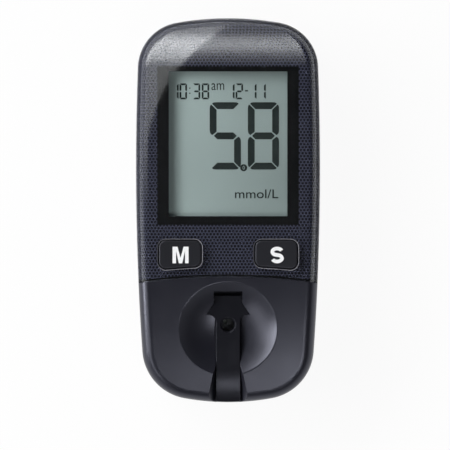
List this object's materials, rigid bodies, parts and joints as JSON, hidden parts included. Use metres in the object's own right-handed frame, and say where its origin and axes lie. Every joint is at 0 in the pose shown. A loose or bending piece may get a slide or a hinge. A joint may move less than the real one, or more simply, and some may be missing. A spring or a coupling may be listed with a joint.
{
  "type": "blood glucose meter",
  "caption": "Handheld blood glucose meter: clear front over a segment display, press buttons, a thumb bowl with a strip guide, and a coin cell door in the back.",
  "frame": {"origin": "on the rest face, under the middle of the body's length and width; the meter lies on its back", "axes": "+X across the meter, +Y along it towards the display end, +Z out of the front face"},
  "size_m": [0.0468, 0.0978, 0.0191],
  "materials": {
    "housing_plastic": "fine satin texture",
    "front_clear": "clear and polished",
    "print_film": "printed with a fine dot pattern",
    "button_plastic": "satin",
    "cover_plastic": "satin",
    "door_plastic": "fine satin texture",
    "optical_plastic": "clear and polished",
    "steel": "satin",
    "screw_steel": "blackened",
    "cell_can": "bright",
    "cell_cap": "satin",
    "cell_gasket": "translucent",
    "lcd_glass": "polished",
    "polariser": "satin",
    "holder_plastic": "satin",
    "zebra_rubber": "layered",
    "gasket_rubber": "matt",
    "board_laminate": "solder resist",
    "chip_plastic": "moulded",
    "ceramic": "fired",
    "resistor_body": "printed",
    "black_plastic": "satin",
    "led_body": "clear lens",
    "label_paper": "matt"
  },
  "bodies": {
    "housing": {"back_label": "label_paper", "battery_contact_negative": "steel", "battery_contact_positive": "steel", "buzzer": "black_plastic", "capacitors": "ceramic", "coin_cell_can": "cell_can", "coin_cell_cap": "cell_cap", "coin_cell_gasket": "cell_gasket", "crystal": "steel", "decor_film": "print_film", "faceplate": "front_clear", "front_housing": "housing_plastic", "housing_screws": "screw_steel", "lcd_front_glass": "lcd_glass", "lcd_front_polariser": "polariser", "lcd_holder": "holder_plastic", "lcd_rear_glass": "lcd_glass", "lcd_rear_polariser": "polariser", "light_guides": "optical_plastic", "m_switch_body": "black_plastic", "main_board": "board_laminate", "measuring_led": "led_body", "measuring_window": "optical_plastic", "memory_chip": "chip_plastic", "microcontroller": "chip_plastic", "optics_block": "black_plastic", "photodiode": "chip_plastic", "rear_housing": "housing_plastic", "resistors": "resistor_body", "s_switch_body": "black_plastic", "strip_switch_body": "black_plastic", "usb_shell": "steel", "usb_tongue": "black_plastic", "window_gasket": "gasket_rubber", "zebra_strip_lower": "zebra_rubber", "zebra_strip_upper": "zebra_rubber"},
    "m_button": {"m_button": "button_plastic", "m_switch_plunger": "black_plastic"},
    "s_button": {"s_button": "button_plastic", "s_switch_plunger": "black_plastic"},
    "battery_door": {"battery_door": "door_plastic"},
    "strip_guide_cover": {"strip_guide_cover": "cover_plastic"},
    "strip_sense_pin": {"strip_sense_pin": "black_plastic"}
  },
  "joints": [
    {"name": "m_button_press", "type": "slide", "parent": "housing", "child": "m_button", "axis": [0, 0, -1], "range_m": [0, 0.0005], "stiffness_N_per_m": 800},
    {"name": "s_button_press", "type": "slide", "parent": "housing", "child": "s_button", "axis": [0, 0, -1], "range_m": [0, 0.0005], "stiffness_N_per_m": 800},
    {"name": "strip_pin_press", "type": "slide", "parent": "housing", "child": "strip_sense_pin", "axis": [0, 0, -1], "range_m": [0, 0.0006], "stiffness_N_per_m": 150},
    {"name": "battery_door_open", "type": "hinge", "parent": "housing", "child": "battery_door", "pos_m": [0, 0.0045, 0], "axis": [-1, 0, 0], "range_deg": [0, 80]},
    {"name": "guide_cover_tilt", "type": "hinge", "parent": "housing", "child": "strip_guide_cover", "pos_m": [0, -0.0226, 0.01535], "axis": [-1, 0, 0], "range_deg": [0, 70]}
  ]
}
